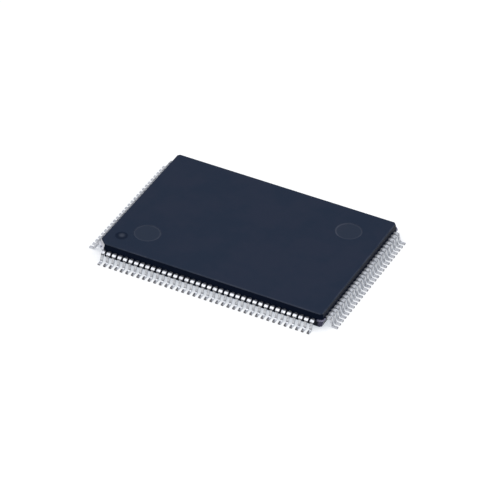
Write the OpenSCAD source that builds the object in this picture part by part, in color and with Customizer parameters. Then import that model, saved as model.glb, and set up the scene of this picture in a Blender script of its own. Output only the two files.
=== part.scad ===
// Low-profile quad flat pack: a moulded body with gull-wing leads along its four sides, and the
// leadframe, die and bond wires that the moulding seals in.
// X runs along the two long sides, Y along the two short ones, and Z up from the seating plane.
// Lead 1 is the first of the front row, which faces -Y, beside the cut corner at -X and -Y.

/* [Body] */
// Length of the moulding along X, at its parting line
body_length = 20; // [18:0.5:24]
// Width of the moulding along Y, at its parting line
body_width = 14; // [12:0.5:18]
// Thickness of the moulding
body_thickness = 1.35; // [1.2:0.05:1.6]
// Height of the parting line above the middle of the moulding
parting_rise = 0.09; // [0:0.01:0.12]
// Gap between the seating plane and the underside of the moulding
stand_off = 0.05; // [0.05:0.01:0.15]
// Draft of the side walls, in degrees, up and down from the parting line
draft_angle = 12; // [8:1:15]
// Radius of the upper and lower edges
edge_radius = 0.08; // [0.04:0.01:0.12]
// Leg of the corner cut beside lead 1, where the mould's gate was
gate_cut = 0.6; // [0.4:0.05:0.8]
// Leg of the other three corner cuts
corner_cut = 0.25; // [0.1:0.05:0.4]
// Reach of the thin web of moulding left round each corner, at the level of the leads
web_reach = 0.06; // [0.03:0.01:0.1]

/* [Marks] */
// Diameter of the dimple that marks lead 1
dimple_diameter = 1.1; // [0.8:0.1:1.4]
// Depth of the dimple
dimple_depth = 0.06; // [0.03:0.01:0.1]
// Distance of the dimple's centre from the left side
dimple_inset_x = 1.35; // [1:0.05:1.6]
// Distance of the dimple's centre from the front side
dimple_inset_y = 1.7; // [1.2:0.05:1.9]
// Diameter of the ejector pin marks
ejector_diameter = 2.2; // [1.6:0.1:2.6]
// Depth of the ejector pin marks
ejector_depth = 0.03; // [0.02:0.01:0.05]
// Distance of the ejector pin marks' centres from the nearest two sides
ejector_inset = 3; // [2.6:0.1:4]

/* [Leads] */
// Distance from one lead to the next
lead_pitch = 0.5; // [0.4:0.05:0.65]
// Least distance from the end of a side to its last lead
row_margin = 0.55; // [0.55:0.05:1]
// Width of a lead outside the body
lead_width = 0.22; // [0.17:0.01:0.24]
// Thickness of the leadframe
frame_thickness = 0.127; // [0.1:0.001:0.15]
// Reach of the leads beyond the body, measured level
lead_reach = 1; // [0.9:0.05:1.2]
// Level length of a lead between the body and its upper bend
shoulder = 0.15; // [0.12:0.01:0.2]
// Inside radius of the upper bend
bend_radius = 0.2; // [0.15:0.01:0.22]
// Inside radius of the lower bend, at the heel
heel_radius = 0.15; // [0.1:0.01:0.2]
// Turn of each bend, in degrees
bend_angle = 77; // [75:1:85]
// Overhang of the sheared dam bar on each side of a lead
dam_stub = 0.05; // [0.02:0.01:0.06]

/* [Leadframe inside the body] */
// Length of a lead inside a long side, measured square to the side
long_row_depth = 2.7; // [2.4:0.1:2.9]
// Length of a lead inside a short side, measured square to the side
short_row_depth = 3.8; // [3.4:0.1:4]
// Distance between neighbouring lead tips
tip_pitch = 0.29; // [0.27:0.01:0.31]
// Width of a lead tip
tip_width = 0.14; // [0.12:0.01:0.16]
// Gap between the lead tips and the die pad
pad_gap = 1; // [0.8:0.1:1.2]
// Drop of the die pad below the leads
pad_drop = 0.2; // [0.15:0.01:0.25]
// Width of the tie bars that hold the die pad at its corners
tie_width = 0.2; // [0.15:0.01:0.24]
// Width of the tape that locks the inner leads together
tape_width = 0.8; // [0.6:0.1:1]
// Thickness of the tape
tape_thickness = 0.06; // [0.04:0.01:0.08]

/* [Die and bond wires] */
// Width of the die pad left bare around the die
die_margin = 1; // [0.8:0.1:1.4]
// Thickness of the die
die_thickness = 0.3; // [0.2:0.01:0.35]
// Thickness of the adhesive under the die
bond_line = 0.03; // [0.02:0.01:0.05]
// Diameter of the bond wire
wire_diameter = 0.025; // [0.02:0.005:0.03]
// Height of a wire's straight neck above the die
wire_neck = 0.14; // [0.1:0.01:0.16]
// Radius of the bend at the top of a wire's loop
wire_bend = 0.05; // [0.04:0.01:0.06]

/* [Hidden] */
$fn = 48;

// Levels, up from the seating plane
top_level = stand_off + body_thickness;
parting_level = stand_off + body_thickness / 2 + parting_rise;
lead_bottom = parting_level - frame_thickness / 2;
lead_top = parting_level + frame_thickness / 2;
pad_top = lead_top - pad_drop;
attach_top = pad_top + bond_line;
die_top = attach_top + die_thickness;

// Leads in a row, as many as the side holds
long_count = floor((body_length - 2 * row_margin) / lead_pitch) + 1;
short_count = floor((body_width - 2 * row_margin) / lead_pitch) + 1;

// Gull wing: the straight shank and the flat foot that the bends leave
bend_span = bend_radius + frame_thickness + heel_radius;
shank = (parting_level - frame_thickness / 2 - bend_span + bend_span * cos(bend_angle))
    / sin(bend_angle);
foot = lead_reach - shoulder - shank * cos(bend_angle) - bend_span * sin(bend_angle);
// Turn of the upper bend over which the sheared dam bar overhangs
dam_turn = 52;
root_length = 0.25;
tip_length = 0.35;

// Length of a side from its last lead to the corner, and the web's distance from that lead
long_end = (body_length - (long_count - 1) * lead_pitch - lead_width) / 2;
short_end = (body_width - (short_count - 1) * lead_pitch - lead_width) / 2;
web_gap = 0.08;

// Half lengths in plan: the window between the lead tips, the die pad and the die
window = [body_length / 2 - short_row_depth, body_width / 2 - long_row_depth];
pad = [window.x - pad_gap, window.y - pad_gap];
die = [pad.x - die_margin, pad.y - die_margin];
attach_fillet = 0.08;
tape_gap = 0.6;
tape = [window.x + tape_gap, window.y + tape_gap];

// Tie bars: from a corner of the pad up a ramp, level to the knee, then square to the corner cut
tie_knee = 0.6;
tie_landing = 0.3;
tie_ramp = 0.4;
tie_stub = 0.02;
knee = [body_length / 2 - tie_knee, body_width / 2 - tie_knee];
tie_arm = norm(knee - pad);
tie_turn = atan2(knee.y - pad.y, knee.x - pad.x);

// Sides are numbered 0 front, 1 right, 2 back and 3 left, so an even number is a long side.
// Each list holds the long side's value and then the short side's.
row_count = [long_count, short_count];
row_side = [body_width / 2, body_length / 2];
row_tips = [window.y, window.x];
die_along = [die.x, die.y];
die_deep = [die.y, die.x];

// Bond wires: ball on the die, stitch on the lead tip
ball_diameter = 0.07;
ball_height = 0.02;
stitch_diameter = 0.08;
stitch_height = 0.018;
pad_row_inset = 0.12;
pad_row_margin = 0.4;
stitch_inset = 0.12;
stitch_clearance = 0.002;

// Flats that make up each rounded edge of the moulding
edge_steps = 4;
plated = [0.72, 0.73, 0.75];
gold = [0.86, 0.69, 0.32];

// Rounded edge at the end of a wall that leaves the parting line half_width out and is height high
function rounded_edge(half_width, height) = let (
    rise = height - edge_radius,
    centre = half_width - rise * tan(draft_angle) - edge_radius / cos(draft_angle)
) [
    for (k = [0 : edge_steps])
        let (turn = draft_angle + k * (90 - draft_angle) / edge_steps)
            [centre + edge_radius * cos(turn), rise + edge_radius * sin(turn)]
];

// One side of the body's section: its outline from bottom to top
function wall(half_width) = let (
    lower = rounded_edge(half_width, parting_level - stand_off),
    upper = rounded_edge(half_width, top_level - parting_level)
) concat(
    [for (k = [edge_steps : -1 : 0]) [lower[k].x, parting_level - lower[k].y]],
    [[half_width, parting_level]],
    [for (p = upper) [p.x, parting_level + p.y]]
);

function mirrored(points) = [for (k = [len(points) - 1 : -1 : 0]) [-points[k].x, points[k].y]];

// Distance from the centre to a corner cut, at the parting line
function corner_reach(cut) = ((body_length + body_width) / 2 - cut) / sqrt(2);

// Places along a row of n, centred on its middle
function row_places(n, pitch) = [for (k = [0 : n - 1]) (k - (n - 1) / 2) * pitch];

// Body between two opposite walls, which face -X and +X
module drafted_slab(left, right)
    rotate([90, 0, 0])
        linear_extrude(2 * body_length, center = true)
            polygon(concat(wall(right), mirrored(wall(left))));

// Thin web of moulding round the corner at +X and +Y, from one side's last lead to the other's
module corner_web(cut) {
    reach = corner_reach(cut) + web_reach;
    span = [long_end, short_end] - [web_gap, web_gap];
    translate([0, 0, lead_bottom])
        linear_extrude(frame_thickness)
            intersection() {
                translate([body_length / 2 - span.x, body_width / 2 - span.y])
                    square(span + [web_reach, web_reach]);
                rotate(45)
                    translate([0, -body_width])
                        square([reach, 2 * body_width]);
            }
}

module moulding() {
    corner_web(corner_cut);
    rotate(180)
        corner_web(gate_cut);
    mirror([1, 0, 0])
        corner_web(corner_cut);
    mirror([0, 1, 0])
        corner_web(corner_cut);
    intersection() {
        drafted_slab(body_length / 2, body_length / 2);
        rotate(90)
            drafted_slab(body_width / 2, body_width / 2);
        rotate(45)
            drafted_slab(corner_reach(gate_cut), corner_reach(corner_cut));
        rotate(-45)
            drafted_slab(corner_reach(corner_cut), corner_reach(corner_cut));
    }
}

// Shallow round dimple beside lead 1
module dimple() {
    ball_radius = (pow(dimple_diameter / 2, 2) + pow(dimple_depth, 2)) / (2 * dimple_depth);
    translate([dimple_inset_x - body_length / 2, dimple_inset_y - body_width / 2,
        top_level - dimple_depth + ball_radius])
        sphere(ball_radius, $fn = 96);
}

// Flat recess with a sloping rim, cut down from level 0
module ejector_mark()
    translate([0, 0, -ejector_depth])
        cylinder(2 * ejector_depth, d1 = ejector_diameter - ejector_depth * 2,
            d2 = ejector_diameter + ejector_depth * 2);

module ejector_marks() {
    for (side = [-1, 1])
        translate(side * [body_length / 2 - ejector_inset, body_width / 2 - ejector_inset, 0]) {
            translate([0, 0, top_level])
                ejector_mark();
            translate([0, 0, stand_off])
                mirror([0, 0, 1])
                    ejector_mark();
        }
}

// Level part of one lead of the front row, from its tip to the upper bend
module lead_plan(place, tip_place, side, tip_line) {
    half = lead_width / 2;
    tip_half = tip_width / 2;
    translate([0, 0, lead_bottom])
        linear_extrude(frame_thickness)
            polygon([
                [place + half, -side - shoulder],
                [place + half, -side + root_length],
                [tip_place + tip_half, -tip_line - tip_length],
                [tip_place + tip_half, -tip_line],
                [tip_place - tip_half, -tip_line],
                [tip_place - tip_half, -tip_line - tip_length],
                [place - half, -side + root_length],
                [place - half, -side - shoulder]
            ]);
}

// Bend from level at the top towards +X, about the axis along Y
module bend(radius, turn, width)
    rotate([-90, -90, 0])
        rotate_extrude(angle = turn)
            translate([radius, -width / 2])
                square([frame_thickness, width]);

// Bent part of a lead, which leaves the body along +X
module gull_wing()
    translate([shoulder, 0, lead_bottom - bend_radius]) {
        bend(bend_radius, dam_turn, lead_width + 2 * dam_stub);
        rotate([0, dam_turn, 0])
            bend(bend_radius, bend_angle - dam_turn, lead_width);
        rotate([0, bend_angle, 0]) {
            translate([0, -lead_width / 2, bend_radius])
                cube([shank, lead_width, frame_thickness]);
            translate([shank, 0, bend_span]) {
                mirror([0, 0, 1])
                    bend(heel_radius, bend_angle, lead_width);
                rotate([0, -bend_angle, 0])
                    translate([0, -lead_width / 2, -heel_radius - frame_thickness])
                        cube([foot, lead_width, frame_thickness]);
            }
        }
    }

// Level parts of all the leads on a side
module inner_leads(side) {
    kind = side % 2;
    places = row_places(row_count[kind], lead_pitch);
    tips = row_places(row_count[kind], tip_pitch);
    rotate(90 * side)
        for (k = [0 : row_count[kind] - 1])
            lead_plan(places[k], tips[k], row_side[kind], row_tips[kind]);
}

// Whole leads on a side
module leads(side) {
    kind = side % 2;
    places = row_places(row_count[kind], lead_pitch);
    tips = row_places(row_count[kind], tip_pitch);
    rotate(90 * side)
        for (k = [0 : row_count[kind] - 1])
            union() {
                lead_plan(places[k], tips[k], row_side[kind], row_tips[kind]);
                translate([places[k], -row_side[kind], 0])
                    rotate(-90)
                        gull_wing();
            }
}

// Wire from the die's top at the origin to a lead tip that lies run away along +X
module bond_wire(run) {
    fall = wire_neck + die_top - lead_top - wire_diameter / 2 - stitch_clearance;
    across = run - wire_bend;
    slope = asin(wire_bend / norm([across, fall])) + atan2(fall, across);
    bend_centre = [wire_bend, 0, wire_neck];
    $fn = 16;
    cylinder(ball_height, d = ball_diameter);
    translate([0, 0, ball_height / 2])
        cylinder(wire_neck - ball_height / 2, d = wire_diameter);
    translate(bend_centre)
        mirror([1, 0, 0])
            rotate([90, 0, 0])
                rotate_extrude(angle = 90 + slope)
                    translate([wire_bend, 0])
                        circle(d = wire_diameter);
    translate(bend_centre)
        rotate([0, slope, 0])
            translate([0, 0, wire_bend])
                rotate([0, 90, 0])
                    cylinder(across * cos(slope) + fall * sin(slope), d = wire_diameter);
    translate([run, 0, lead_top - die_top])
        cylinder(stitch_height, d = stitch_diameter);
}

// Wires from the die to the lead tips of a side
module bond_wires(side) {
    kind = side % 2;
    last = row_count[kind] - 1;
    starts = row_places(last + 1, 2 * (die_along[kind] - pad_row_margin) / last);
    tips = row_places(last + 1, tip_pitch);
    start_line = die_deep[kind] - pad_row_inset;
    rotate(90 * side)
        for (k = [0 : last])
            let (way = [tips[k] - starts[k], start_line - row_tips[kind] - stitch_inset])
                translate([starts[k], -start_line, die_top])
                    rotate(atan2(way.y, way.x))
                        bond_wire(norm(way));
}

// Tie bar towards the corner at +X and +Y
module tie_bar(cut) {
    ramp_end = tie_arm - tie_landing;
    translate([knee.x, knee.y, 0]) {
        rotate(180 + tie_turn)
            rotate([90, 0, 0])
                linear_extrude(tie_width, center = true)
                    polygon([
                        [0, lead_bottom],
                        [ramp_end - tie_ramp, lead_bottom],
                        [ramp_end, lead_bottom - pad_drop],
                        [tie_arm + tie_landing, lead_bottom - pad_drop],
                        [tie_arm + tie_landing, pad_top],
                        [ramp_end, pad_top],
                        [ramp_end - tie_ramp, lead_top],
                        [0, lead_top]
                    ]);
        translate([0, 0, lead_bottom]) {
            cylinder(frame_thickness, d = tie_width);
            rotate(45)
                translate([0, -tie_width / 2, 0])
                    cube([tie_knee * sqrt(2) - cut / sqrt(2) + web_reach + tie_stub, tie_width,
                        frame_thickness]);
        }
    }
}

module die_pad_form() {
    translate([-pad.x, -pad.y, pad_top - frame_thickness])
        cube([2 * pad.x, 2 * pad.y, frame_thickness]);
    tie_bar(corner_cut);
    rotate(180)
        tie_bar(gate_cut);
    mirror([1, 0, 0])
        tie_bar(corner_cut);
    mirror([0, 1, 0])
        tie_bar(corner_cut);
}

module die_attach_form()
    translate([-die.x - attach_fillet, -die.y - attach_fillet, pad_top])
        cube([2 * (die.x + attach_fillet), 2 * (die.y + attach_fillet), bond_line]);

module die_form()
    translate([-die.x, -die.y, attach_top])
        cube([2 * die.x, 2 * die.y, die_thickness]);

module tape_form()
    translate([0, 0, lead_top])
        linear_extrude(tape_thickness)
            difference() {
                square(2 * [tape.x + tape_width, tape.y + tape_width], center = true);
                square(2 * tape, center = true);
            }

// The moulding, closed round everything that it seals in
module moulded_body()
    color([0.16, 0.19, 0.25])
        difference() {
            moulding();
            dimple();
            ejector_marks();
            inner_leads(0);
            inner_leads(1);
            inner_leads(2);
            inner_leads(3);
            bond_wires(0);
            bond_wires(1);
            bond_wires(2);
            bond_wires(3);
            die_pad_form();
            die_attach_form();
            die_form();
            tape_form();
        }

module leads_front()
    color(plated)
        leads(0);

module leads_right()
    color(plated)
        leads(1);

module leads_back()
    color(plated)
        leads(2);

module leads_left()
    color(plated)
        leads(3);

module die_pad()
    color([0.78, 0.62, 0.5])
        die_pad_form();

module die_attach()
    color([0.82, 0.82, 0.8])
        die_attach_form();

module silicon_die()
    color([0.36, 0.38, 0.44])
        die_form();

module lead_lock_tape()
    color([0.72, 0.47, 0.16])
        tape_form();

module bond_wires_front()
    color(gold)
        bond_wires(0);

module bond_wires_right()
    color(gold)
        bond_wires(1);

module bond_wires_back()
    color(gold)
        bond_wires(2);

module bond_wires_left()
    color(gold)
        bond_wires(3);

moulded_body();
leads_front();
leads_right();
leads_back();
leads_left();
die_pad();
die_attach();
silicon_die();
lead_lock_tape();
bond_wires_front();
bond_wires_right();
bond_wires_back();
bond_wires_left();
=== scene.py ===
from math import cos, radians, sin

import bpy
from mathutils import Matrix, Vector

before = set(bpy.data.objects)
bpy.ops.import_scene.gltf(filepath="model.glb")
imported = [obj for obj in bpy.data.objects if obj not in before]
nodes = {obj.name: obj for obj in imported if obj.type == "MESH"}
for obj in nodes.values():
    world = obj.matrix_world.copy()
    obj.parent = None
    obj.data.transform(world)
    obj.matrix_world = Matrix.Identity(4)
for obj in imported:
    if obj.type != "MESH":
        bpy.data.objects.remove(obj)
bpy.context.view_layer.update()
mm = 0.001
print("frame loaded:", len(nodes), "nodes")


# camera: the chip seen from the front, from above and a little from the right
cameraView = {
    "azimuth": 25.49,
    "elevation": 36.78,
    "roll": 1.98,
    "distance": 306.2 * mm,
    "aim": (0.0, 0.0, 0.6 * mm),
    "slide": (-0.16 * mm, 0.80 * mm),
    "lens": 275.3,
}


def addCamera(view):
    turn, lift, roll = (radians(view[key]) for key in ("azimuth", "elevation", "roll"))
    back = Vector((sin(turn) * cos(lift), -cos(turn) * cos(lift), sin(lift)))
    level = Vector((cos(turn), sin(turn), 0.0))
    rise = back.cross(level)
    right = cos(roll) * level + sin(roll) * rise
    up = cos(roll) * rise - sin(roll) * level
    place = Vector(view["aim"]) + back * view["distance"]
    place -= right * view["slide"][0] + up * view["slide"][1]
    data = bpy.data.cameras.new("camera")
    data.lens = view["lens"]
    camera = bpy.data.objects.new("camera", data)
    bpy.context.scene.collection.objects.link(camera)
    camera.matrix_world = Matrix.Translation(place) @ Matrix((right, up, back)).transposed().to_4x4()
    bpy.context.scene.camera = camera


addCamera(cameraView)
bpy.context.scene.view_settings.view_transform = "Standard"
print("camera placed")


class Value:
    # a socket in a node tree, with the usual operators
    def __init__(self, maker, socket):
        self.maker = maker
        self.socket = socket

    def math(self, operation, *others):
        return self.maker.node("ShaderNodeMath", {"operation": operation}, (self, *others))

    def __add__(self, other):
        return self.math("ADD", other)

    def __radd__(self, other):
        return self.math("ADD", other)

    def __sub__(self, other):
        return self.math("SUBTRACT", other)

    def __rsub__(self, other):
        return self.maker.node("ShaderNodeMath", {"operation": "SUBTRACT"}, (other, self))

    def __mul__(self, other):
        return self.math("MULTIPLY", other)

    def __rmul__(self, other):
        return self.math("MULTIPLY", other)

    def __pow__(self, other):
        return self.math("POWER", other)

    def __abs__(self):
        return self.math("ABSOLUTE")

    # the larger of the two
    def most(self, other):
        return self.math("MAXIMUM", other)

    # the smaller of the two
    def least(self, other):
        return self.math("MINIMUM", other)

    # runs from 0 at low to 1 at high, and stays level outside
    def ramp(self, low, high):
        settings = {"interpolation_type": "SMOOTHSTEP"}
        inputs = {"Value": self, "From Min": low, "From Max": high}
        return self.maker.node("ShaderNodeMapRange", settings, inputs)


class Maker:
    # adds the nodes of one material, or of the world
    def __init__(self, tree):
        self.tree = tree
        tree.nodes.clear()

    # inputs holds values and links, in the sockets' order or by their names or numbers
    def node(self, kind, settings=None, inputs=(), outputs=(0,)):
        made = self.tree.nodes.new(kind)
        for key, value in (settings or {}).items():
            setattr(made, key, value)
        pairs = inputs.items() if isinstance(inputs, dict) else enumerate(inputs)
        for key, value in pairs:
            if isinstance(value, Value):
                self.tree.links.new(value.socket, made.inputs[key])
            else:
                made.inputs[key].default_value = value
        values = [Value(self, made.outputs[key]) for key in outputs]
        return values[0] if len(values) == 1 else values

    # the place on the piece, in its own coordinates
    def place(self):
        return self.node("ShaderNodeTexCoord", outputs=("Object",))

    def axes(self, vector):
        return self.node("ShaderNodeSeparateXYZ", None, (vector,), ("X", "Y", "Z"))

    def noise(self, vector, size, detail, roughness):
        inputs = {"Vector": vector, "Scale": 1.0 / size, "Detail": detail, "Roughness": roughness}
        return self.node("ShaderNodeTexNoise", None, inputs)

    # first where factor is 0, second where it is 1
    def mix(self, factor, first, second):
        inputs = {0: factor, 6: first, 7: second}    # the sockets of a mix of colours
        return self.node("ShaderNodeMix", {"data_type": "RGBA"}, inputs, (2,))

    def bump(self, height, distance):
        return self.node("ShaderNodeBump", None, {"Height": height, "Distance": distance})

    # the rays that show the floor and the sky as white
    def seen(self):
        kinds = ("Is Camera Ray", "Is Glossy Ray", "Is Transmission Ray")
        return self.node("ShaderNodeLightPath", outputs=kinds)

    # ends the tree in its output
    def finish(self, surface, kind="ShaderNodeOutputMaterial"):
        self.node(kind, None, {"Surface": surface}, ())

    def surface(self, inputs):
        self.finish(self.node("ShaderNodeBsdfPrincipled", None, inputs))


def newMaterial(name):
    material = bpy.data.materials.new(name)
    material.use_nodes = True
    return material, Maker(material.node_tree)


def dress(start, material):
    for name, piece in nodes.items():
        if name.startswith(start):
            piece.data.materials.clear()
            piece.data.materials.append(material)


# moulded body: dark compound with a spark-eroded grain on its two faces, smoother walls painted
# darker as shade, rubbed edges and marks with a painted highlight, a rough pale scar with a painted
# glint where the gate broke off, and painted light round the corners
mouldingLook = {
    "face": (0.0160, 0.0250, 0.0460, 1.0),
    "facePatch": (0.0205, 0.0278, 0.0490, 1.0),
    # painted shade: the walls take a darker copy of the compound's colour
    "wall": (0.0020, 0.0046, 0.0150, 1.0),
    # painted shade for the dimple's hollow
    "shadedHollow": (0.0065, 0.0120, 0.0270, 1.0),
    # lighter colour of edges and ejector rings: wear together with a painted highlight
    "rubbedAndLit": (0.085, 0.095, 0.125, 1.0),
    # gate scar: a rough pale scar with a painted glint
    "scarAndGlint": (0.86, 0.87, 0.95, 1.0),
    # the corner web's pale speckled colour is painted light
    "web": (0.30, 0.30, 0.42, 1.0),
    # painted light: the corners under the leads' level made paler, as light from the floor
    "litLowerCorner": (0.085, 0.085, 0.15, 1.0),
    "faceRoughness": 0.50,
    "wallRoughness": 0.20,
    "patchRoughness": 0.15,
    "markRoughness": -0.08,
    "scarRoughness": 0.30,
    "specular": 0.06,
    "specularTint": (0.45, 0.62, 1.0, 1.0),
    "coatRoughness": 0.12,
    "grain": 0.07 * mm,
    "grainHeight": 0.004 * mm,
    "grainOnWall": 0.35,
    "grainInMark": 0.4,
    "patch": 2.6 * mm,
    "patchRange": (0.35, 0.65),
    # the two faces, measured from the middle of the moulding's height
    "middle": 0.725 * mm,
    "faceRange": (0.585 * mm, 0.605 * mm),
    "topRange": (0.725 * mm, 0.825 * mm),
    # edges of the faces, rubbed and given a painted highlight
    "edgeRanges": ((9.78 * mm, 9.87 * mm), (6.78 * mm, 6.87 * mm)),
    "edgeRubAndLight": 0.5,
    # ejector marks: a rubbed ring with a painted highlight, and a slightly smoother floor
    "ejectors": ((-7.0 * mm, -4.0 * mm), (7.0 * mm, 4.0 * mm)),
    "ejectorRange": (1.06 * mm, 1.10 * mm),
    "ringRadius": 1.05 * mm,
    "ringRange": (0.02 * mm, 0.10 * mm),
    "ringRubAndLight": 0.6,
    "leastRubAndLight": 0.35,
    "ejectorGloss": 0.10,
    # dimple of lead 1: painted shade round a polished middle
    "dimple": (-8.65 * mm, -5.30 * mm),
    "hollowRange": (0.4675 * mm, 0.55 * mm),
    "polish": (-8.68 * mm, -5.18 * mm),
    "polishRange": (0.055 * mm, 0.3575 * mm),
    "polishGloss": 0.50,
    # corners, where |x| + |y| passes a limit that the draft of the walls moves
    "leadLevel": 0.815 * mm,
    "draftReach": 0.30,
    "cornerRange": (16.55 * mm, 16.65 * mm),
    "lowerRange": (0.735 * mm, 0.765 * mm),
    "webRange": (0.06 * mm, 0.08 * mm),
    "webSpeckle": (0.20, 0.60),
    "gateRange": (16.35 * mm, 16.38 * mm),
    "gateRise": (0.575 * mm, 0.625 * mm),
    "gateSpeckle": (0.15, 0.45),
}


def mouldingMaterial(look):
    material, maker = newMaterial("mouldCompound")
    place = maker.place()
    x, y, z = maker.axes(place)
    patch = maker.noise(place, look["patch"], 4.0, 0.55)
    grain = maker.noise(place, look["grain"], 4.0, 0.6)

    def reachFrom(centre):
        return ((x - centre[0]) ** 2.0 + (y - centre[1]) ** 2.0) ** 0.5

    # walls painted darker than the two faces, as painted shade, and the two faces
    patches = patch.ramp(*look["patchRange"])
    fromMiddle = abs(z - look["middle"])
    onFace = fromMiddle.ramp(*look["faceRange"])
    onTop = z.ramp(*look["topRange"])
    colour = maker.mix(patches, look["face"], look["facePatch"])
    # painted shade: a darker copy of the compound on the walls
    colour = maker.mix(onFace, look["wall"], colour)

    # rubbed edges and ejector rings, lightened with a painted highlight
    edgeX, edgeY = (abs(axis).ramp(*limits) for axis, limits in zip((x, y), look["edgeRanges"]))
    rubbedAndLit = edgeX.most(edgeY) * onFace * look["edgeRubAndLight"]
    marked = 0.0
    for centre in look["ejectors"]:
        reach = reachFrom(centre)
        ring = 1.0 - abs(reach - look["ringRadius"]).ramp(*look["ringRange"])
        rubbedAndLit = rubbedAndLit.most(ring * onFace * look["ringRubAndLight"])
        marked = 1.0 - reach.ramp(*look["ejectorRange"]) + marked
    gloss = marked * look["ejectorGloss"] * onFace

    # dimple: painted shade in its hollow, left off the polished middle
    shadedHollow = (1.0 - reachFrom(look["dimple"]).ramp(*look["hollowRange"])) * onTop
    polish = (1.0 - reachFrom(look["polish"]).ramp(*look["polishRange"])) * onTop
    colour = maker.mix(shadedHollow * (1.0 - polish), colour, look["shadedHollow"])
    gloss = gloss + polish * look["polishGloss"]
    marked = (marked + polish) * onFace
    # edges and rings lightened: wear together with a painted highlight
    rubAndLight = rubbedAndLit * (look["leastRubAndLight"] + (1.0 - look["leastRubAndLight"]) * patches)
    colour = maker.mix(rubAndLight, colour, look["rubbedAndLit"])

    # corners: painted light under the leads' level and on the thin web at it, and the broken gate by
    # lead 1 with a painted glint
    draft = abs(z - look["leadLevel"]) * look["draftReach"]
    atCorner = (abs(x) + abs(y) + draft).ramp(*look["cornerRange"])
    litBelowLeads = 1.0 - z.ramp(*look["lowerRange"])
    web = 1.0 - abs(z - look["leadLevel"]).ramp(*look["webRange"])
    # painted light on the corners under the leads' level
    colour = maker.mix(atCorner * litBelowLeads, colour, look["litLowerCorner"])
    # painted light on the thin web at the corners
    colour = maker.mix(atCorner * web * grain.ramp(*look["webSpeckle"]), colour, look["web"])
    gate = (draft - x - y).ramp(*look["gateRange"]) * (1.0 - fromMiddle.ramp(*look["gateRise"]))
    # the broken gate: a pale scar with a painted glint
    colour = maker.mix(gate * grain.ramp(*look["gateSpeckle"]), colour, look["scarAndGlint"])

    rough = look["wallRoughness"] + onFace * (look["faceRoughness"] - look["wallRoughness"])
    rough = rough + (patch - 0.5) * look["patchRoughness"]
    rough = rough + marked * look["markRoughness"] + gate * look["scarRoughness"]
    height = grain * (1.0 - (1.0 - look["grainInMark"]) * marked)
    height = height * (look["grainOnWall"] + (1.0 - look["grainOnWall"]) * onFace)
    maker.surface({
        "Base Color": colour,
        "Roughness": rough,
        "Specular IOR Level": look["specular"],
        "Specular Tint": look["specularTint"],
        "Coat Weight": gloss,
        "Coat Roughness": look["coatRoughness"],
        "Normal": maker.bump(height, look["grainHeight"]),
    })
    return material


dress("moulded_body", mouldingMaterial(mouldingLook))
print("moulding dressed")


# leads: matt tin plate outside the moulding, bare alloy and silvered tips inside it, sheared toes
leadLook = {
    "plate": (0.60, 0.61, 0.63, 1.0),
    "dull": (0.38, 0.39, 0.42, 1.0),
    "alloy": (0.62, 0.34, 0.21, 1.0),
    "sheared": (0.17, 0.16, 0.16, 1.0),
    "silver": (0.83, 0.82, 0.79, 1.0),
    "roughness": 0.31,
    "blotchRoughness": 0.25,
    "shearedRoughness": 0.20,
    "blotch": 0.22 * mm,
    "blotchRange": (0.40, 0.70),
    "grain": 0.035 * mm,
    "grainHeight": 0.0025 * mm,
    "shearedSpeckle": (0.20, 0.45),
    # half sizes of the body, of the lead span and of the window round the lead tips
    "halfBody": (10.0 * mm, 7.0 * mm),
    "halfSpan": (11.0 * mm, 8.0 * mm),
    "halfWindow": (6.2 * mm, 4.3 * mm),
    "plateRange": (-0.03 * mm, -0.01 * mm),
    "shearedRange": (-0.004 * mm, -0.001 * mm),
    "silverRange": (0.45 * mm, 0.50 * mm),
}


def leadMaterial(look):
    material, maker = newMaterial("platedLead")
    place = maker.place()
    x, y, z = maker.axes(place)
    blotch = maker.noise(place, look["blotch"], 4.0, 0.6)
    grain = maker.noise(place, look["grain"], 3.0, 0.6)

    # how far a place lies outside a rectangle of these half sizes
    def beyond(half):
        return (abs(x) - half[0]).most(abs(y) - half[1])

    plated = beyond(look["halfBody"]).ramp(*look["plateRange"])
    silvered = 1.0 - beyond(look["halfWindow"]).ramp(*look["silverRange"])
    sheared = beyond(look["halfSpan"]).ramp(*look["shearedRange"])
    plate = maker.mix(blotch.ramp(*look["blotchRange"]), look["plate"], look["dull"])
    inner = maker.mix(silvered, look["alloy"], look["silver"])
    colour = maker.mix(plated, inner, plate)
    colour = maker.mix(sheared * grain.ramp(*look["shearedSpeckle"]), colour, look["sheared"])
    rough = look["roughness"] + (blotch - 0.5) * look["blotchRoughness"]
    rough = rough + sheared * look["shearedRoughness"]
    maker.surface({
        "Base Color": colour,
        "Metallic": 1.0,
        "Roughness": rough,
        "Normal": maker.bump(grain, look["grainHeight"]),
    })
    return material


dress("leads_", leadMaterial(leadLook))
print("leads dressed")


# pieces sealed in the moulding, and the ends of the tie bars, which show dull at the corners
innerLooks = {
    "die_pad": {"colour": (0.62, 0.34, 0.21, 1.0), "metallic": 1.0, "roughness": 0.35},
    "die_attach": {"colour": (0.55, 0.55, 0.53, 1.0), "metallic": 0.4, "roughness": 0.6},
    "silicon_die": {"colour": (0.20, 0.21, 0.26, 1.0), "metallic": 0.8, "roughness": 0.15},
    "lead_lock_tape": {"colour": (0.42, 0.17, 0.03, 1.0), "metallic": 0.0, "roughness": 0.3},
    "bond_wires": {"colour": (0.83, 0.58, 0.20, 1.0), "metallic": 1.0, "roughness": 0.2},
}
innerFinish = {
    "patch": 0.4 * mm,
    "patchRange": (0.35, 0.65),
    "patchShade": 0.75,
    "patchRoughness": 0.15,
    "tieEnd": (0.24, 0.24, 0.32, 1.0),
    "tieEndRange": (16.3 * mm, 16.4 * mm),
}


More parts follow.
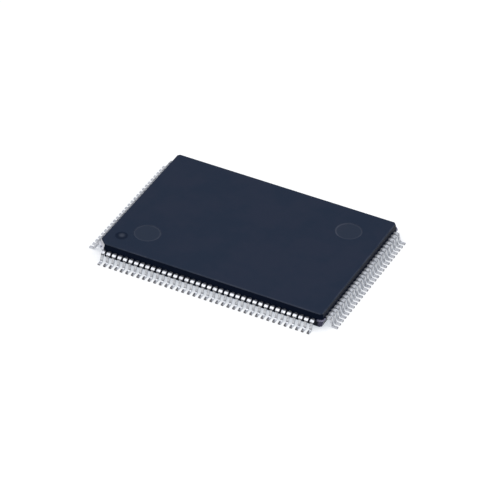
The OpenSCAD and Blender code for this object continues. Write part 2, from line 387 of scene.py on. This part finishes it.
def innerMaterial(name, look, finish):
    material, maker = newMaterial(name)
    place = maker.place()
    x, y, z = maker.axes(place)
    patch = maker.noise(place, finish["patch"], 3.0, 0.5)
    darker = tuple(finish["patchShade"] * part for part in look["colour"][:3]) + (1.0,)
    colour = maker.mix(patch.ramp(*finish["patchRange"]), look["colour"], darker)
    atCorner = (abs(x) + abs(y)).ramp(*finish["tieEndRange"])
    colour = maker.mix(atCorner, colour, finish["tieEnd"])
    maker.surface({
        "Base Color": colour,
        "Metallic": look["metallic"],
        "Roughness": look["roughness"] + (patch - 0.5) * finish["patchRoughness"],
    })
    return material


for name, look in innerLooks.items():
    dress(name, innerMaterial(name, look, innerFinish))
print("inner pieces dressed")


# floor, lamps and surroundings: the sky is bright overhead and behind, and dim in front
studio = {
    "floorSize": 3.0,
    "floorLevel": -0.002 * mm,
    "floorGrey": (0.65, 0.61, 0.55, 1.0),
    "floorGlow": (0.46, 0.50, 0.56, 1.0),
    "lamps": {
        "overhead": {"place": (0.0, -0.10, 0.30), "size": 0.34, "power": 0.47},
        "right": {"place": (0.30, 0.02, 0.15), "size": 0.20, "power": 0.13},
    },
    "skyColour": (0.96, 0.98, 1.04, 1.0),
    "skyLow": 0.10,
    "skyHigh": 0.72,
    "skyRange": (0.18, 0.58),
    "skyLean": 0.35,
}


def floorMaterial(look):
    material, maker = newMaterial("floor")
    camera, glossy, through = maker.seen()
    shown = camera.most(glossy).most(through)
    grey = maker.node("ShaderNodeBsdfDiffuse", None, {"Color": look["floorGrey"]})
    glow = maker.node("ShaderNodeEmission", None, {"Color": look["floorGlow"], "Strength": shown})
    above = maker.node("ShaderNodeAddShader", None, (grey, glow))
    fromBelow = maker.node("ShaderNodeNewGeometry", outputs=("Backfacing",))
    clear = maker.node("ShaderNodeBsdfTransparent")    # the floor is clear from below
    surface = maker.node("ShaderNodeMixShader", None, (fromBelow, above, clear))
    maker.finish(surface)
    return material


def addStudio(look):
    place = (0.0, 0.0, look["floorLevel"])
    bpy.ops.mesh.primitive_plane_add(size=look["floorSize"], location=place)
    floor = bpy.context.object
    floor.name = "floor"
    floor.data.materials.append(floorMaterial(look))
    for name, lamp in look["lamps"].items():
        data = bpy.data.lights.new(name, "AREA")
        data.size = lamp["size"]
        data.energy = lamp["power"]
        made = bpy.data.objects.new(name, data)
        made.location = lamp["place"]
        made.rotation_euler = Vector(lamp["place"]).to_track_quat("Z", "Y").to_euler()
        bpy.context.scene.collection.objects.link(made)
    world = bpy.data.worlds.new("surroundings")
    world.use_nodes = True
    bpy.context.scene.world = world
    maker = Maker(world.node_tree)
    x, y, z = maker.axes(maker.node("ShaderNodeTexCoord", outputs=("Generated",)))
    camera, glossy, through = maker.seen()
    backdrop = (abs(z) + look["skyLean"] * y.least(0.0)).ramp(*look["skyRange"])
    sky = look["skyLow"] + (look["skyHigh"] - look["skyLow"]) * backdrop
    white = camera.most(through).most(glossy * backdrop)
    level = sky + (1.0 - sky) * white
    inputs = {"Color": look["skyColour"], "Strength": level}
    back = maker.node("ShaderNodeBackground", None, inputs)
    maker.finish(back, "ShaderNodeOutputWorld")


addStudio(studio)
print("studio lit")
